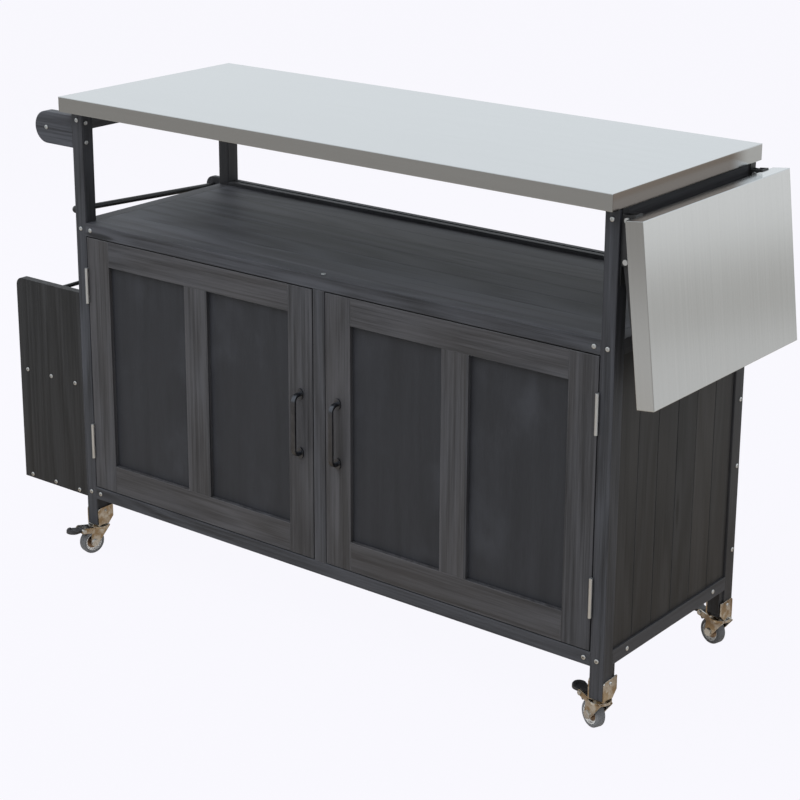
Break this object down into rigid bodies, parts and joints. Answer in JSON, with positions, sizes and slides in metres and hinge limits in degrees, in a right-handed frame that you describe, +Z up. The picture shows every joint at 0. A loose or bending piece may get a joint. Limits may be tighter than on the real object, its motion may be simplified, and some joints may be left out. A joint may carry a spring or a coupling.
{
  "type": "outdoor kitchen cart",
  "caption": "Rolling outdoor kitchen cart: black timber cabinet with doors, open shelf, steel worktop, folding side leaf, side rack, push handle and braked swivel casters.",
  "frame": {"origin": "on the floor under the middle of the whole cart, with the rack, the hanging leaf and the front left brake pedal", "axes": "+X along the cart towards the drop leaf, +Y from the doors to the back, +Z up"},
  "size_m": [1.4571, 0.4904, 0.91],
  "materials": {
    "black_wood": "black-stained softwood, matt, grain showing",
    "door_wood": "black-brown stained softwood, matt",
    "panel_board": "black-stained plywood, matt",
    "core_board": "black-sealed timber core",
    "brushed_steel": "brushed stainless sheet",
    "black_steel": "black powder coat",
    "zinc": "bright zinc plate",
    "grey_rubber": "soft grey tread",
    "white_plastic": "white moulded wheel centre",
    "black_plastic": "black moulded plastic"
  },
  "bodies": {
    "cart": {"back_ledge": "black_wood", "back_planks": "black_wood", "back_posts": "black_wood", "bracket_pins": "zinc", "bracket_wall_plates": "black_steel", "cabinet_floor": "panel_board", "caster_kingpins": "zinc", "caster_sockets": "zinc", "centre_post": "black_wood", "cross_rails": "black_wood", "door_catches": "black_plastic", "frame_screws": "zinc", "front_posts": "black_wood", "handle_arms": "black_wood", "handle_grip": "black_wood", "hinge_pins": "zinc", "hinge_post_leaves": "zinc", "leg_blocks": "black_wood", "long_rails": "black_wood", "rack_panels": "black_wood", "rack_rods": "black_steel", "rack_shelves": "black_wood", "shelf_slats": "black_wood", "side_planks": "black_wood", "towel_arm": "black_wood", "towel_rod": "black_steel", "worktop_core": "core_board", "worktop_skin": "brushed_steel"},
    "left_door": {"left_door_frame": "door_wood", "left_door_panel": "panel_board", "left_door_hinge_leaves": "zinc", "left_door_handle": "black_steel"},
    "right_door": {"right_door_frame": "door_wood", "right_door_panel": "panel_board", "right_door_hinge_leaves": "zinc", "right_door_handle": "black_steel"},
    "drop_leaf": {"leaf_skin": "brushed_steel", "leaf_core": "core_board", "leaf_channels": "black_steel"},
    "struts": {"leaf_struts": "black_steel"},
    "front_left_fork": {"front_left_caster_fork": "zinc", "front_left_caster_bolts": "zinc"},
    "front_left_wheel": {"front_left_caster_tyre": "grey_rubber", "front_left_caster_rim": "white_plastic"},
    "front_left_brake": {"front_left_caster_brake": "black_plastic"},
    "front_right_fork": {"front_right_caster_fork": "zinc", "front_right_caster_bolts": "zinc"},
    "front_right_wheel": {"front_right_caster_tyre": "grey_rubber", "front_right_caster_rim": "white_plastic"},
    "front_right_brake": {"front_right_caster_brake": "black_plastic"},
    "back_left_fork": {"back_left_caster_fork": "zinc", "back_left_caster_bolts": "zinc"},
    "back_left_wheel": {"back_left_caster_tyre": "grey_rubber", "back_left_caster_rim": "white_plastic"},
    "back_left_brake": {"back_left_caster_brake": "black_plastic"},
    "back_right_fork": {"back_right_caster_fork": "zinc", "back_right_caster_bolts": "zinc"},
    "back_right_wheel": {"back_right_caster_tyre": "grey_rubber", "back_right_caster_rim": "white_plastic"},
    "back_right_brake": {"back_right_caster_brake": "black_plastic"}
  },
  "joints": [
    {"name": "left_door_hinge", "type": "hinge", "parent": "cart", "child": "left_door", "pos_m": [-0.5256, -0.19298, 0.237], "axis": [0, 0, -1], "range_deg": [0, 110]},
    {"name": "right_door_hinge", "type": "hinge", "parent": "cart", "child": "right_door", "pos_m": [0.6124, -0.19298, 0.237], "axis": [0, 0, 1], "range_deg": [0, 110]},
    {"name": "leaf_hinge", "type": "hinge", "parent": "cart", "child": "drop_leaf", "pos_m": [0.6514, 0, 0.865], "axis": [0, -1, 0], "range_deg": [0, 83.5]},
    {"name": "strut_hinge", "type": "hinge", "parent": "cart", "child": "struts", "pos_m": [0.6494, 0, 0.799], "axis": [0, -1, 0], "range_deg": [0, 106.49]},
    {"name": "front_left_swivel", "type": "hinge", "parent": "cart", "child": "front_left_fork", "pos_m": [-0.5396, -0.17568, 0.0547], "axis": [0, 0, 1], "continuous": true},
    {"name": "front_left_roll", "type": "hinge", "parent": "front_left_fork", "child": "front_left_wheel", "pos_m": [-0.5432, -0.19127, 0.024], "axis": [0.9744, -0.225, 0], "continuous": true},
    {"name": "front_left_brake_press", "type": "hinge", "parent": "front_left_fork", "child": "front_left_brake", "pos_m": [-0.54837, -0.21368, 0.053], "axis": [0.9744, -0.225, 0], "range_deg": [0, 12]},
    {"name": "front_right_swivel", "type": "hinge", "parent": "cart", "child": "front_right_fork", "pos_m": [0.6264, -0.17568, 0.0547], "axis": [0, 0, 1], "continuous": true},
    {"name": "front_right_roll", "type": "hinge", "parent": "front_right_fork", "child": "front_right_wheel", "pos_m": [0.61157, -0.16969, 0.024], "axis": [-0.3746, -0.9272, 0], "continuous": true},
    {"name": "front_right_brake_press", "type": "hinge", "parent": "front_right_fork", "child": "front_right_brake", "pos_m": [0.59024, -0.16107, 0.053], "axis": [-0.3746, -0.9272, 0], "range_deg": [0, 12]},
    {"name": "back_left_swivel", "type": "hinge", "parent": "cart", "child": "back_left_fork", "pos_m": [-0.5396, 0.21832, 0.0547], "axis": [0, 0, 1], "continuous": true},
    {"name": "back_left_roll", "type": "hinge", "parent": "back_left_fork", "child": "back_left_wheel", "pos_m": [-0.55463, 0.21285, 0.024], "axis": [0.342, -0.9397, 0], "continuous": true},
    {"name": "back_left_brake_press", "type": "hinge", "parent": "back_left_fork", "child": "back_left_brake", "pos_m": [-0.57625, 0.20498, 0.053], "axis": [0.342, -0.9397, 0], "range_deg": [0, 12]},
    {"name": "back_right_swivel", "type": "hinge", "parent": "cart", "child": "back_right_fork", "pos_m": [0.6264, 0.21832, 0.0547], "axis": [0, 0, 1], "continuous": true},
    {"name": "back_right_roll", "type": "hinge", "parent": "back_right_fork", "child": "back_right_wheel", "pos_m": [0.61094, 0.22246, 0.024], "axis": [-0.2588, -0.9659, 0], "continuous": true},
    {"name": "back_right_brake_press", "type": "hinge", "parent": "back_right_fork", "child": "back_right_brake", "pos_m": [0.58873, 0.22841, 0.053], "axis": [-0.2588, -0.9659, 0], "range_deg": [0, 12]}
  ],
  "couplings": [
    {"joint": "strut_hinge", "follows": "leaf_hinge", "ratio": 1.2693}
  ]
}
